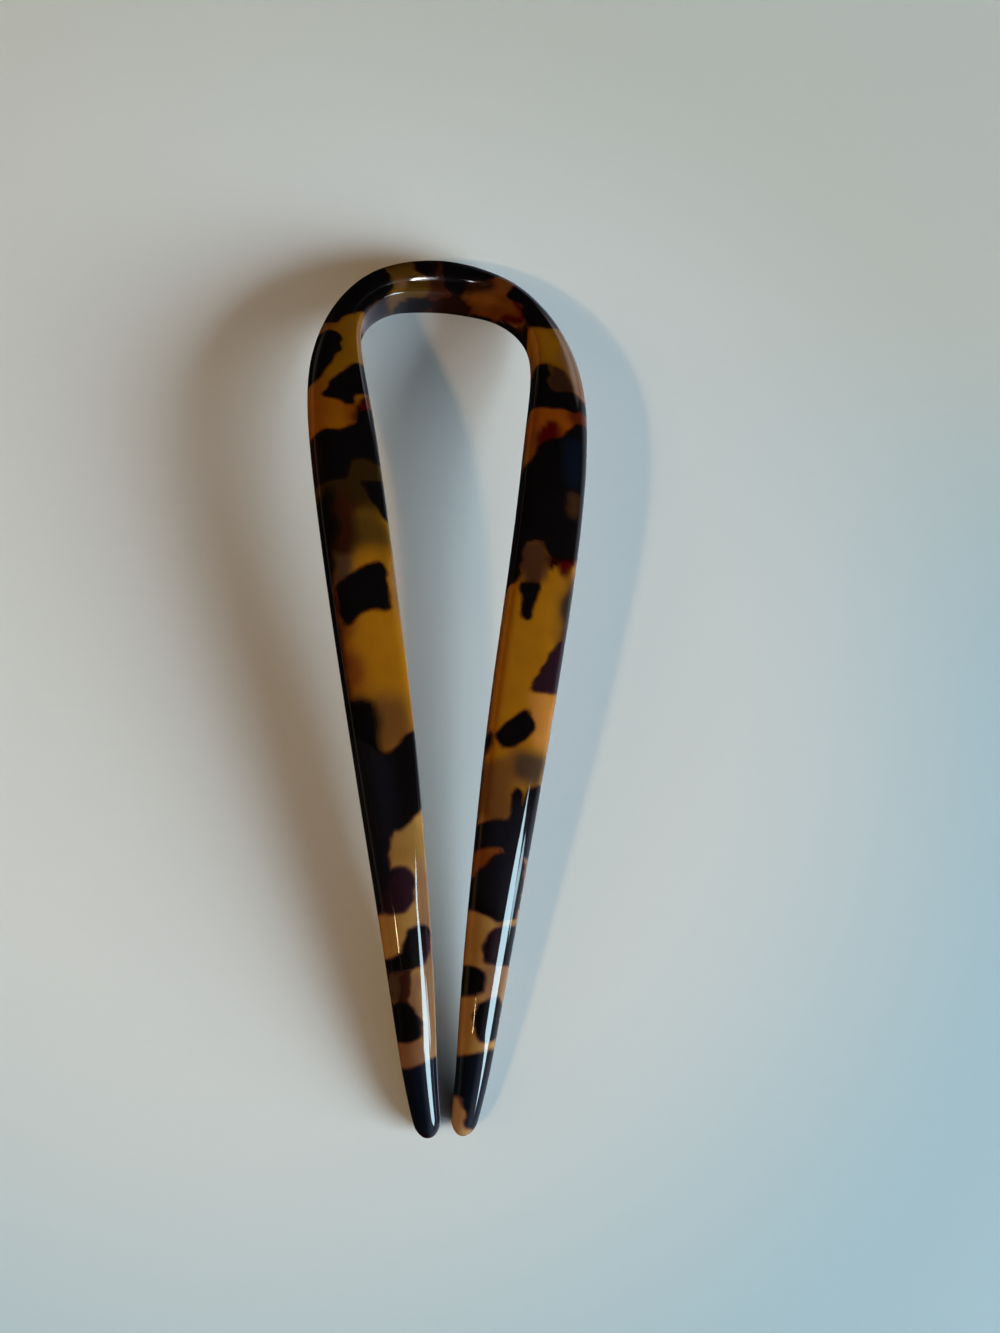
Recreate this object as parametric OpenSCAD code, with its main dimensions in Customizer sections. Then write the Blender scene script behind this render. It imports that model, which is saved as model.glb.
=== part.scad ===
// Two-pronged hair fork, cut flat from one sheet, rounded all over and then bent.
// It lies arched on a surface: on its prong ends and on the outer edge of its crown.
// X runs across the fork, Y from the prong ends to the crown, and Z up from the surface.

/* [Outline] */
// Length of the flat blank, from the prong ends to the top of the crown
blank_length = 141; // [110:1:170]
// Width over the shoulders
shoulder_width = 44; // [36:1:54]

/* [Thickness] */
// Thickness of the crown and of the upper prongs
sheet = 5.6; // [4:0.1:7]
// Thickness just before the prong ends
tip_sheet = 3.5; // [2.4:0.1:4]
// Length over which each prong end is rounded off
tip_round = 2.6; // [1.5:0.1:3.5]
// Squareness of the inner edge of the crown and of the upper prongs, where 2 is an ellipse
inner_squareness = 5; // [2:0.1:6]
// Squareness of their outer edge, which is rounder
outer_squareness = 2.7; // [2:0.1:5]
// Squareness of the section at the prong ends
tip_squareness = 2.2; // [2:0.1:4]

/* [Bend] */
// Bow of the prongs and crown over the whole length, in degrees
bow = 9.5; // [0:0.5:20]
// Sharper turn of the shoulders, in degrees
shoulder_turn = 17; // [0:0.5:30]
// Distance from the prong ends at which the turn starts
turn_start = 74; // [50:1:90]
// Distance from the prong ends at which the turn ends
turn_end = 124; // [100:1:140]

/* [Smoothness] */
// Number of sides of the section
section_sides = 24; // [16:4:32]
// Number of sections from one station to the next
sections_per_station = 5; // [4:1:6]

/* [Hidden] */

// Stations along the middle line of one prong, from its end to the top of the crown.
// Each gives the distance from the prong ends, the distance from the fork's axis and the
// width of the blade, in millimetres on a blank of the nominal size. A smooth curve is
// drawn towards them, as a spline is towards its weights. The shoulder is narrow because
// the inner outline has a tighter corner there than the outer one.
ALONG = 0;
OFF_AXIS = 1;
BLADE = 2;
NOMINAL_LENGTH = 141;
NOMINAL_WIDTH = 44;
STATIONS = [
    [0, 2.3, 3.6],
    [8, 3.8, 4.9],
    [18, 4.8, 6.2],
    [32, 6.5, 7.6],
    [48, 8.7, 8.9],
    [64, 11.0, 9.8],
    [80, 13.5, 10.2],
    [94, 15.5, 10.3],
    [106, 17.0, 10.1],
    [117, 18.1, 8.5],
    [127, 16.7, 4.8],
    [133.7, 11.1, 6.6],
    [135.6, 5.4, 8.4],
    [136.4, 0, 8.9],
];

// Distances from the prong ends at which the thickness and the squareness change
tip_zone = 14;
taper_end = 60;
square_from = 32;
square_to = 62;
// Share of the full thickness already reached at the end of the tip zone
tip_zone_share = 0.65;
// Spacing of the points of the bend's side view
bend_step = 1;
// Spare length of the side view past the crown
bend_spare = 12;
// How often the resting tilt is corrected
tilt_tries = 5;

along_scale = blank_length / NOMINAL_LENGTH;
across_scale = shoulder_width / NOMINAL_WIDTH;

function blend(a, b, t) = a + (b - a) * t;

// A smooth step from 0 to 1
function ease(t) = let (c = min(max(t, 0), 1)) c * c * (3 - 2 * c);

// One prong's stations as [across, along, blade], its end three times so that the curve starts there
right_half = [for (s = STATIONS) [s[OFF_AXIS] * across_scale, s[ALONG] * along_scale, s[BLADE] * across_scale]];
left_half = [for (i = [len(right_half) - 2 : -1 : 0]) let (s = right_half[i]) [-s[0], s[1], s[2]]];
controls = concat(
    [right_half[0], right_half[0]],
    right_half,
    left_half,
    [left_half[len(left_half) - 1], left_half[len(left_half) - 1]]
);

// Point, or direction, of the smooth curve between the second and the third of four controls
function curve_point(i, t) =
    (pow(1 - t, 3) * controls[i]
    + (3 * pow(t, 3) - 6 * pow(t, 2) + 4) * controls[i + 1]
    + (1 + 3 * t + 3 * pow(t, 2) - 3 * pow(t, 3)) * controls[i + 2]
    + pow(t, 3) * controls[i + 3]) / 6;
function curve_direction(i, t) =
    (-pow(1 - t, 2) * controls[i]
    + (3 * pow(t, 2) - 4 * t) * controls[i + 1]
    + (1 + 2 * t - 3 * pow(t, 2)) * controls[i + 2]
    + pow(t, 2) * controls[i + 3]) / 2;

// Each place is [across, along, blade, side x, side y], where the side points across the blade.
// The very first and last places would have no size, so they are left out.
span_count = len(controls) - 3;
place_count = span_count * sections_per_station - 1;
places = [
    for (k = [1 : place_count])
        let (
            i = floor(k / sections_per_station),
            t = k / sections_per_station - i,
            p = curve_point(i, t),
            d = curve_direction(i, t),
            n = norm([d[0], d[1]])
        )
        [p[0], p[1], p[2], -d[1] / n, d[0] / n]
];

function thickness(along) = lookup(along / along_scale, [
    [0, tip_sheet],
    [tip_zone, blend(tip_sheet, sheet, tip_zone_share)],
    [taper_end, sheet],
]);

// Squareness this far along an edge that ends with the given one
function squareness(along, full) =
    blend(tip_squareness, full, ease((along / along_scale - square_from) / (square_to - square_from)));

// Share of the full section that is left this far from the prong's end
function end_share(from_end) = sqrt(1 - pow(max(0, 1 - from_end / tip_round), 2));

// Rounded section of the flat blank round one place, as [across, along, height] points.
// It starts at the inner edge, and its first and last quarters are that edge.
function flat_section(place) =
    let (
        share = end_share(norm([place[0] - sign(place[0]) * right_half[0][0], place[1]])),
        inner_power = 2 / squareness(place[1], inner_squareness),
        outer_power = 2 / squareness(place[1], outer_squareness),
        half_blade = place[2] * share / 2,
        half_sheet = thickness(place[1]) * share / 2
    )
    [
        for (j = [0 : section_sides - 1])
            let (
                c = cos(360 * j / section_sides),
                s = sin(360 * j / section_sides),
                power = c > 0 ? inner_power : outer_power,
                out = half_blade * sign(c) * pow(abs(c), power),
                up = half_sheet * sign(s) * pow(abs(s), power)
            )
            [place[0] + out * place[3], place[1] + out * place[4], up]
    ];

// Slope of the bent blank's middle plane this far along it, in degrees
function slope(along) =
    -bow * along / blank_length - shoulder_turn * ease((along / along_scale - turn_start) / (turn_end - turn_start));

// Side view of the bent middle plane, as [along, y, z]
side_view = [
    for (
        v = 0, y = 0, z = 0;
        v <= blank_length + bend_spare;
        y = y + bend_step * cos(slope(v + bend_step / 2)),
        z = z + bend_step * sin(slope(v + bend_step / 2)),
        v = v + bend_step
    )
    [v, y, z]
];
side_y = [for (s = side_view) [s[0], s[1]]];
side_z = [for (s = side_view) [s[0], s[2]]];

function bent(p) =
    let (a = slope(p[1]))
    [p[0], lookup(p[1], side_y) - p[2] * sin(a), lookup(p[1], side_z) + p[2] * cos(a)];

bent_points = [for (place = places, p = flat_section(place)) bent(p)];

// Tilt about X at which the prong ends and the crown are equally low
function height(p, tilt) = p[1] * sin(tilt) + p[2] * cos(tilt);
function lowest(points, tilt) = min([for (p = points) height(p, tilt)]);
prong_end_points = [for (p = bent_points) if (p[1] < blank_length / 3) p];
crown_points = [for (p = bent_points) if (p[1] > blank_length * 2 / 3) p];
function resting_tilt(tries, tilt = 0) =
    tries == 0 ? tilt : resting_tilt(
        tries - 1,
        tilt - atan2(lowest(crown_points, tilt) - lowest(prong_end_points, tilt), blank_length)
    );
rest_tilt = resting_tilt(tilt_tries);

// The fork as it lies, with its origin under the middle of its box
rest_z = min(lowest(prong_end_points, rest_tilt), lowest(crown_points, rest_tilt));
tilted_points = [
    for (p = bent_points)
        [p[0], p[1] * cos(rest_tilt) - p[2] * sin(rest_tilt), height(p, rest_tilt) - rest_z]
];
tilted_y = [for (p = tilted_points) p[1]];
middle_y = (min(tilted_y) + max(tilted_y)) / 2;
fork_points = [for (p = tilted_points) [p[0], p[1] - middle_y, p[2]]];

// Number of the point at side j of ring i, counted round and round
function at(i, j) = i * section_sides + j % section_sides;
last_ring = place_count - 1;
wall_faces = [
    for (i = [0 : last_ring - 1], j = [0 : section_sides - 1], half = [0, 1])
        half == 0
            ? [at(i, j), at(i + 1, j), at(i + 1, j + 1)]
            : [at(i, j), at(i + 1, j + 1), at(i, j + 1)]
];
start_faces = [for (j = [1 : section_sides - 2]) [at(0, 0), at(0, j), at(0, j + 1)]];
end_faces = [for (j = [1 : section_sides - 2]) [at(last_ring, 0), at(last_ring, j + 1), at(last_ring, j)]];

module fork() {
    color([0.45, 0.26, 0.08])
        polyhedron(points = fork_points, faces = concat(wall_faces, start_faces, end_faces), convexity = 6);
}

fork();
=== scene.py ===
"""Tortoiseshell hair fork: a flat acetate blank, rounded, flaked, bent and polished.

The blank is drawn flat, ring after ring along one prong, and mirrored at the crown.
Its flakes are laid while it is flat, and then it is bent and set down as it rests.
"""
import functools
import math

import bmesh
import bpy
import numpy as np
from bpy.props import FloatProperty, FloatVectorProperty, IntProperty, PointerProperty
from mathutils import Matrix, Vector


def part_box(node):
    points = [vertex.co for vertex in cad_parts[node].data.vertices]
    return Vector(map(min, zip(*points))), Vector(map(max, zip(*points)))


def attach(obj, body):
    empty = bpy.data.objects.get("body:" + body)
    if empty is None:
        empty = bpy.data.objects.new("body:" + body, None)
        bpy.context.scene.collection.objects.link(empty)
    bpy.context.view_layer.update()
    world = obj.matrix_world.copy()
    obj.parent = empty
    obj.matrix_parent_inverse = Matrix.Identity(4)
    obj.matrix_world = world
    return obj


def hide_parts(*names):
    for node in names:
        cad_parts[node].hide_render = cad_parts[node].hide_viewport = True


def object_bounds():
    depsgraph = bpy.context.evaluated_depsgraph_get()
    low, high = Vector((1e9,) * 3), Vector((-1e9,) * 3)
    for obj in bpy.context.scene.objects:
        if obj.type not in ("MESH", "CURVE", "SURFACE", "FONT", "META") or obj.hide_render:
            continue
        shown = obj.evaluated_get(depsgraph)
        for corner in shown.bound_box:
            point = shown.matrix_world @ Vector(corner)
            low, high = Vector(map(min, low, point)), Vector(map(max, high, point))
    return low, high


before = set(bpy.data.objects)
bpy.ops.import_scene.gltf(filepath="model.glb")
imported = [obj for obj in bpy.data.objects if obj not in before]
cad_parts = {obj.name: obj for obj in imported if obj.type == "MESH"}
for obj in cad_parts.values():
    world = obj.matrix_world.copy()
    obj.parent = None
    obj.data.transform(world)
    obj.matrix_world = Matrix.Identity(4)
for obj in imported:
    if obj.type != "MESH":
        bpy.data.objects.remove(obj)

bl_info = {
    "name": "Tortoiseshell hair fork",
    "version": (1, 0, 0),
    "blender": (4, 5, 0),
    "location": "View3D > Sidebar > Hair Fork",
    "description": "Builds a bent and polished tortoiseshell hair fork, and a plain stage for it",
    "category": "Add Mesh",
}

NODE = "fork"
BODY = "root"
MM = 0.001
CAD_BOX = [list(corner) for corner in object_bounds()]

# Stations along the middle line of one prong: distance from the prong ends, distance from
# the fork's axis and width of the blade, in millimetres on the flat blank
STATIONS = (
    (0, 2.3, 3.6),
    (8, 3.8, 4.9),
    (18, 4.8, 6.2),
    (32, 6.5, 7.6),
    (48, 8.7, 8.9),
    (64, 11.0, 9.8),
    (80, 13.5, 10.2),
    (94, 15.5, 10.3),
    (106, 17.0, 10.1),
    (117, 18.1, 8.5),
    (127, 16.7, 4.8),
    (133.7, 11.1, 6.6),
    (135.6, 5.4, 8.4),
    (136.4, 0, 8.9),
)
# Share of the section that is left once the fork is polished
POLISHED = 0.998
RINGS_PER_STATION = 8
RING_SIDES = 16
# Distances from the prong ends at which the thickness and the squareness change
TIP_ZONE = 14
TIP_ZONE_SHARE = 0.65
TAPER_END = 60
SQUARE_FROM = 32
SQUARE_TO = 62
# Ends of the sharper turn of the shoulders, and the length over which the blank bows
TURN_START = 74
TURN_END = 124
BLANK_LENGTH = 141
BEND_STEP = 1
BEND_SPARE = 12
# Distances within which mirrored halves and doubled vertices are joined
WELD = 0.01 * MM
DOUBLE = 0.001 * MM

# Colours of the acetate, as it looks by reflected light
TONES = {
    "amber": (0.3, 0.112, 0.004),
    "deep amber": (0.195, 0.074, 0.002),
    "orange": (0.18, 0.04, 0.002),
    "bright orange": (0.235, 0.052, 0.002),
    "golden amber": (0.27, 0.102, 0.003),
    "dark orange": (0.1, 0.024, 0.001),
    "yellow orange": (0.235, 0.07, 0.002),
    "dusky amber": (0.25, 0.122, 0.028),
    "sandy amber": (0.31, 0.155, 0.04),
    "sand": (0.38, 0.215, 0.1),
    "pale amber": (0.4, 0.15, 0.025),
    "olive": (0.112, 0.05, 0.005),
    "dark olive": (0.024, 0.011, 0.002),
    "taupe": (0.06, 0.03, 0.015),
    "beige": (0.2, 0.09, 0.04),
    "brown": (0.13, 0.048, 0.01),
    "moss": (0.075, 0.034, 0.004),
    "ash": (0.024, 0.014, 0.009),
    "umber": (0.054, 0.018, 0.007),
    "smoke": (0.035, 0.012, 0.005),
    "rust": (0.034, 0.008, 0.003),
    "deep rust": (0.026, 0.006, 0.002),
    "dark rust": (0.013, 0.003, 0.001),
    "copper": (0.16, 0.042, 0.006),
    "ember": (0.085, 0.01, 0.002),
    "ruby": (0.062, 0.001, 0.001),
    "crimson": (0.05, 0, 0.001),
    "dark crimson": (0.018, 0.001, 0.001),
    "plum": (0.016, 0.005, 0.008),
    "slate": (0.006, 0.005, 0.007),
    "navy": (0.003, 0.005, 0.01),
    "black": (0.003, 0.002, 0.002),
}

# Soft clouds in the sheet, laid one over another: tone, width over which it fades, outline.
# Outlines are across from the axis and along from the prong ends, in millimetres on the
# flat blank.
CLOUDS = (
    ("deep amber", 12, ((-26, 92), (26, 92), (26, 145), (-26, 145))),
    ("sandy amber", 10, ((-14, -3), (14, -3), (14, 48), (-14, 48))),
    # Crown
    ("olive", 2.2, ((-9.8, 139), (-5, 139.5), (-4, 135), (-4.4, 130), (-9.8, 130))),
    ("beige", 1.6, ((-8.8, 133.4), (-5.6, 133.6), (-5.4, 132.4), (-8.6, 131.6))),
    ("moss", 1.2, ((-6.6, 134.6), (-2.6, 134.8), (-2.6, 128.6), (-7, 128.6))),
    ("brown", 2.0, ((-22, 128), (-14, 137), (-9.5, 138), (-12, 133), (-17, 126), (-19, 121))),
    ("taupe", 1.6, ((-13.6, 127), (-9, 130.6), (-6.6, 131), (-8, 128.6), (-12.6, 124.6))),
    ("rust", 1.2, (
        (-2, 140), (-2, 137), (-3, 133.6), (-3.6, 129), (3.2, 129), (2.8, 132), (0.9, 133.6), (0.4, 140))),
    ("copper", 2.4, ((3.5, 137.4), (13, 138), (12, 129), (3, 129.6))),
    ("deep rust", 2.0, ((2.2, 136), (7.4, 136.4), (8.6, 133.4), (5, 131), (1.6, 131.6))),
    ("dark orange", 1.8, ((4.2, 132), (9.6, 132), (11.2, 130), (12.6, 127), (8, 127), (4.2, 128.6))),
    ("golden amber", 2.4, ((12.5, 125), (17, 124.5), (18, 118), (13, 118))),
    ("crimson", 0.9, ((11.1, 131), (12.3, 130.4), (12.9, 128.6), (13, 127.4), (12, 127.6), (11.3, 129.2))),
    # Right shoulder and prong
    ("beige", 2.2, ((18.6, 125), (23, 125), (23.6, 110), (20, 112.6), (18.2, 118))),
    ("smoke", 1, ((15.9, 117.4), (18.1, 117), (20.1, 113.5), (19.4, 112.2), (15.3, 111.9))),
    ("bright orange", 1.7, ((12, 110), (22.5, 110), (22.5, 105), (12, 99.5))),
    ("copper", 1.7, ((12, 104.6), (14, 104.6), (14, 99), (12, 99))),
    ("ruby", 1.1, (
        (12.2, 100.2), (13.1, 103.4), (14, 105.6), (15.4, 107.4), (17, 106.6), (17.2, 104.4), (15, 102),
        (13.4, 100.2))),
    ("ember", 1.5, ((18.4, 108.6), (22.5, 108.6), (22.5, 105.2), (18.8, 105))),
    ("umber", 2, ((9.6, 86.8), (12, 88), (14, 87.2), (14.5, 85), (14.2, 82.7), (12.4, 80), (10, 80))),
    ("dark crimson", 0.8, (
        (13.9, 86), (19.4, 86), (19.2, 83.4), (16.5, 83.4), (15.4, 83.2), (14.2, 82.8))),
    ("crimson", 0.9, ((16.1, 84), (16.4, 81.8), (18.1, 81.9), (19, 84))),
    ("umber", 3.6, ((16.4, 82), (21.5, 82), (20.4, 67), (15.3, 67))),
    ("ash", 2, ((17.2, 80.6), (21, 80.6), (20, 73.5), (16.7, 73.5))),
    ("pale amber", 2.5, ((11.2, 65), (15.5, 65), (15.5, 56.5), (12, 56))),
    ("taupe", 3, ((8.2, 56), (15.4, 56.4), (14.2, 50), (8.2, 50.4))),
    ("brown", 2, ((4, 54.5), (8.9, 54.5), (9, 46), (4, 46))),
    ("copper", 1.4, ((3, 42.2), (7.4, 42), (7.4, 40.6), (3, 37.3))),
    ("beige", 1.7, ((10.6, 41), (12.6, 41), (12.2, 36.5), (10.6, 36.5))),
    ("beige", 1.5, ((4.8, 25.2), (9.5, 25.2), (8.6, 20.4), (4.8, 20.4))),
    ("sand", 1.4, ((0.2, 6.6), (2.6, 6.6), (2.8, 1.9), (4, 1.4), (4, -2), (0.2, -2))),
    # Left shoulder and prong
    ("yellow orange", 2.7, ((-22.5, 110), (-14.5, 110), (-12, 103), (-22.5, 101.5))),
    ("orange", 1.6, ((-17, 108.4), (-15, 108.4), (-14.2, 104), (-15.6, 103.6))),
    ("dark rust", 1, ((-14.8, 109.2), (-12.2, 109.8), (-12, 105), (-15, 104.4))),
    ("crimson", 0.8, ((-14.1, 108.8), (-12.4, 109.6), (-12.4, 106.8), (-14.1, 106.6))),
    ("dark olive", 2, ((-20.5, 101), (-10, 101), (-9.6, 89), (-20, 91))),
    ("moss", 3.7, ((-17, 90.5), (-9, 90.5), (-8, 84), (-16, 84))),
    ("deep rust", 1.8, ((-18.6, 92.8), (-14.9, 92.2), (-14.2, 84.4), (-17.2, 83))),
    ("black", 1.6, ((-22.6, 93.8), (-17.3, 93.2), (-16.5, 84), (-17.4, 79), (-22.6, 79))),
    ("taupe", 1.6, ((-17.6, 84), (-15, 84), (-14.6, 80.8), (-17, 79.6))),
    # Painted reflection: a pale beige veil along the inner edge of the left prong
    ("beige", 1.8, ((-9.4, 83.5), (-7.4, 83.5), (-6, 70), (-7.8, 70))),
    ("copper", 1.4, ((-17.4, 80), (-13.8, 80), (-13.4, 73), (-16.8, 72.6))),
    ("dark orange", 4.4, ((-21, 79), (-16.3, 79), (-15.2, 70), (-18, 68))),
    ("amber", 4.2, ((-15, 77), (-7.5, 77), (-6, 64), (-13.5, 64))),
    ("copper", 3.2, ((-16.5, 70.5), (-13.4, 70), (-12.6, 64), (-15.5, 64))),
    ("brown", 4, ((-12.4, 65), (-6.2, 63.5), (-5, 56), (-11.5, 55))),
    ("black", 1.8, ((-18, 63.6), (-11.1, 63.4), (-10.7, 58.8), (-10, 54), (-18, 54))),
    ("dusky amber", 1.7, ((-9.4, 45.5), (-3, 45.5), (-3, 39), (-9.4, 39))),
    ("beige", 2, ((-5.3, 40.5), (-2.4, 40.5), (-1, 12), (-2.8, 12))),
    ("taupe", 1.7, ((-9, 24.8), (-6.1, 24.8), (-6.1, 19.6), (-8.2, 19.6))),
    ("beige", 1.4, ((-5.9, 24.6), (-4, 24.6), (-3.8, 18.6), (-5.6, 19))),
    ("beige", 1.7, ((-7.6, 15), (-3, 15), (-2.6, 10.2), (-7.4, 10.2))),
    ("plum", 1.7, ((-5.4, 3), (-0.8, 3), (-0.8, -2), (-5.4, -2))),
)

# Flakes with a crisp edge: tone, depth below the top face at which the flake starts and
# ends, and its outline. TOP is just above that face, and THROUGH is past the underside.
TOP = -1
THROUGH = 9
FLAKES = (
    # Crown
    ("black", TOP, 4.2, (
        (-10.5, 139), (-10.2, 135.4), (-9.6, 134.4), (-9.1, 132.8), (-9.2, 131.3), (-10, 130),
        (-11.6, 128.6), (-12.8, 127.2), (-13.4, 126.1), (-15, 125.5), (-16.8, 124.7), (-17.8, 123),
        (-19.4, 123.4), (-22, 128), (-17, 135), (-13, 139))),
    ("black", TOP, 4.4, (
        (-5.4, 142), (-5.2, 137), (-4.6, 135.7), (-3.2, 134.9), (-2.2, 135.2), (-1.7, 137), (-1.5, 142))),
    ("black", TOP, 1.3, (
        (-0.3, 142), (-0.3, 135), (-0.1, 133.6), (0.7, 132.6), (1.8, 132.2), (2.6, 132.3), (3.1, 133.2),
        (3.5, 134.7), (4.6, 135.3), (6, 135.3), (7.5, 135.7), (8.4, 136.6), (11, 138), (11, 142))),
    ("black", 2.5, THROUGH, ((-7, 134.4), (-2.4, 134.4), (-2.2, 129), (-7.4, 129))),
    ("black", 1.8, 3.2, ((-6, 134.4), (-3.2, 134.4), (-3, 129), (-6, 129))),
    ("dark rust", 2.6, THROUGH, ((-2, 134.4), (4.2, 134.4), (4.6, 129), (-2.4, 129))),
    ("dark rust", 1.9, 3.2, ((-0.8, 134.4), (3.2, 134.4), (3.4, 129), (-0.8, 129))),
    ("black", TOP, THROUGH, (
        (9.9, 132), (10.4, 132.8), (11.3, 134.2), (12.3, 135.6), (14.5, 138), (20, 133), (22, 127),
        (17.8, 126), (16.6, 125.4), (14.6, 125.7), (13.3, 126.2), (12.8, 127.2), (12.6, 128.8),
        (12.7, 130), (11.7, 130.9), (10.6, 131.2))),
    # Right shoulder and prong
    ("black", TOP, 4.8, (
        (12.6, 116.4), (14.1, 117.5), (15.6, 117.7), (16, 116.4), (15.4, 114.8), (15.6, 112.4),
        (17, 112.1), (18.5, 112.3), (19.5, 112.5), (20.6, 111.6), (23.4, 111), (23.4, 109), (20.5, 109.4),
        (19.4, 108.8), (17.5, 109.4), (15, 109.5), (12, 109.4), (12, 113))),
    ("black", TOP, THROUGH, (
        (23, 106.8), (20.3, 106.8), (19.3, 106.3), (18.6, 105.6), (17.7, 104.6), (16.5, 103.7),
        (15, 103.3), (14, 103), (13.5, 102.2), (12.8, 100.8), (12, 99.8), (11.3, 99.3), (9.8, 98.6),
        (8.4, 88), (7.6, 81), (9.5, 81), (10.1, 84.4), (10.3, 86.3), (11, 87.2), (12.8, 87.3), (13.7, 87),
        (14, 86), (14.4, 85), (15.5, 84.6), (17, 84.7), (18.8, 85), (20.8, 85.4), (21, 92), (22.4, 100))),
    ("black", TOP, 2.4, (
        (10.1, 80.9), (11.2, 80.6), (12.6, 81), (12.7, 79.5), (12, 77.8), (11.5, 75.8), (10.7, 75),
        (10, 76.4), (10.3, 78), (10, 79.3))),
    ("plum", TOP, 4.2, (
        (11.1, 64.3), (12.1, 66), (13, 67.3), (13.8, 68.6), (14.6, 70.3), (15.4, 71.3), (16.3, 72),
        (17.8, 72.4), (17.2, 67.5), (16.6, 64.6))),
    ("black", TOP, 3.4, (
        (11, 61.7), (11.5, 60.9), (12.1, 58.8), (11.3, 58.1), (9.2, 56.5), (7.3, 56.2), (6.5, 57.3),
        (6.3, 58.1), (7.6, 59.6), (9.4, 60.9))),
    ("black", TOP, 5, ((4, 59), (5.8, 59), (5.6, 55.8), (4, 55.8))),
    ("black", TOP, THROUGH, (
        (8.8, 50.3), (10.1, 50.1), (10.4, 47), (11, 50), (14, 51), (13.4, 44), (13, 40.6), (10.3, 40.6),
        (7.2, 41), (7.4, 41.8), (5.4, 42), (2.6, 41.5), (3.2, 45), (6, 45.8), (8.6, 45.6))),
    ("black", TOP, 5, (
        (2, 36.6), (3.3, 37.5), (5, 39.3), (7.2, 41.2), (10.8, 41), (10.8, 35), (9.6, 31.4), (8.4, 31.5),
        (6.9, 31), (5, 32.4), (2, 33.9))),
    ("black", TOP, THROUGH, (
        (6.8, 30.4), (5.1, 28.7), (4.7, 26.8), (5.1, 25.2), (10.6, 25), (11.4, 30.6))),
    ("black", TOP, 3, ((1, 25.1), (3.7, 24.7), (4.9, 23.7), (5.1, 21.3), (3.7, 20.9), (1, 20.9))),
    ("black", TOP, 4, (
        (4.1, 19.4), (5.3, 20), (7.8, 20.4), (7.4, 14.5), (4.6, 13.9), (3.7, 15.9), (3.5, 17.8))),
    ("black", TOP, THROUGH, (
        (0.4, 11.4), (2.2, 12.2), (7.6, 13), (7, 7), (5.6, 1.4), (4.1, 1.4), (3.6, 1.7), (2.6, 1.9),
        (2.8, 4), (2.1, 5.9), (1, 6.9), (0.2, 7))),
    # Left shoulder and prong
    ("black", TOP, 4.6, (
        (-17.6, 121), (-17.2, 119.6), (-17.2, 118), (-17.8, 116.8), (-18.6, 115.3), (-19.8, 113),
        (-20.3, 112.2), (-21.5, 111.6), (-23.6, 111.8), (-23.4, 117), (-21.6, 120.6), (-18.9, 121.4))),
    ("black", TOP, 4, (
        (-15.2, 114.8), (-14, 115.1), (-12, 115), (-11.6, 110), (-13.5, 109.7), (-14.8, 109.4),
        (-15.2, 108.8), (-15.1, 107.6), (-16, 107.5), (-16.8, 108.3), (-18.4, 108.6), (-19.5, 108.8),
        (-19.2, 109.8), (-18.5, 111.3), (-17.5, 112.6), (-16.2, 113.8))),
    ("black", TOP, THROUGH, (
        (-21, 102.3), (-19.5, 102.9), (-18, 103), (-17.2, 102.8), (-16.3, 103.3), (-15.5, 103.8),
        (-14.8, 104), (-14.4, 105), (-13.8, 106.2), (-12, 107), (-10.6, 106), (-10.2, 98), (-11.9, 98.2),
        (-12.5, 98.6), (-13.6, 98.9), (-15, 98.7), (-15.7, 98), (-15.9, 96.5), (-16.3, 95.4), (-18, 95.2),
        (-19.8, 94.8), (-22, 95), (-22.6, 100))),
    ("black", TOP, 4, (
        (-13.9, 95), (-12.3, 94.7), (-11, 95.1), (-9.4, 95.3), (-8.8, 91.5), (-9.2, 88.8), (-10.4, 89.6),
        (-11, 90.5), (-11.9, 92), (-12.7, 93.2))),
    ("black", TOP, THROUGH, (
        (-17.2, 79.6), (-16, 80.2), (-15, 81), (-13.7, 82), (-12, 82.8), (-11, 82.9), (-10.3, 82.4),
        (-10.1, 81), (-9.9, 79), (-9.6, 77.5), (-9.3, 76.6), (-9.6, 76), (-10.5, 76), (-11.5, 76.2),
        (-12.8, 75.9), (-14, 75.2), (-14.6, 74.3), (-15.4, 73.7), (-16.2, 74), (-16.5, 76), (-16.9, 78))),
    # Starts below the top face, so it blackens the outer side of the left prong: partly a dark flake,
    # partly painted shade on that side
    ("black", 0.95, 4.6, ((-21.6, 84), (-16.4, 84), (-14.4, 72), (-12.6, 62), (-17, 62), (-20, 74))),
    ("black", TOP, THROUGH, (
        (-17.4, 58), (-13.6, 57.8), (-12, 56.4), (-10.9, 55.2), (-9.5, 55), (-8.2, 55.9), (-6.8, 57.8),
        (-4.4, 59.4), (-3, 49.6), (-5, 47), (-6.3, 45.7), (-7.4, 44.4), (-8.7, 44.6), (-9.2, 41.7),
        (-8.9, 39.4), (-9.4, 32.6), (-12.6, 32.4), (-15, 48))),
    ("plum", TOP, 4, (
        (-9.2, 39.1), (-6, 39.1), (-5.4, 36.7), (-5.5, 34.6), (-6.6, 33), (-8.4, 32.5), (-10.6, 33))),
    ("black", TOP, THROUGH, (
        (-6.1, 30.4), (-3.5, 31.1), (-2.8, 30.1), (-3, 27.3), (-3.5, 25.6), (-5.9, 24.7), (-7.8, 24.4),
        (-10.4, 24.8), (-9.6, 26), (-7, 26.8), (-6.6, 28.5))),
    ("rust", TOP, 2, ((-6.9, 24.6), (-5.8, 24.6), (-5.9, 22), (-6.2, 19.9), (-7, 20), (-6.7, 22.4))),
    ("black", TOP, 4.4, (
        (-8.4, 19.9), (-6.1, 20.4), (-5.4, 19), (-4, 17.5), (-4, 15.6), (-5.1, 14.7), (-6.8, 14.6),
        (-8.6, 14.8))),
    ("black", TOP, THROUGH, (
        (-8, 10.4), (-5, 10.8), (-3, 11.6), (-0.4, 12.4), (0, 2), (-1.6, 1), (-3.4, 1.2), (-5.4, 2.4))),
)

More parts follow.
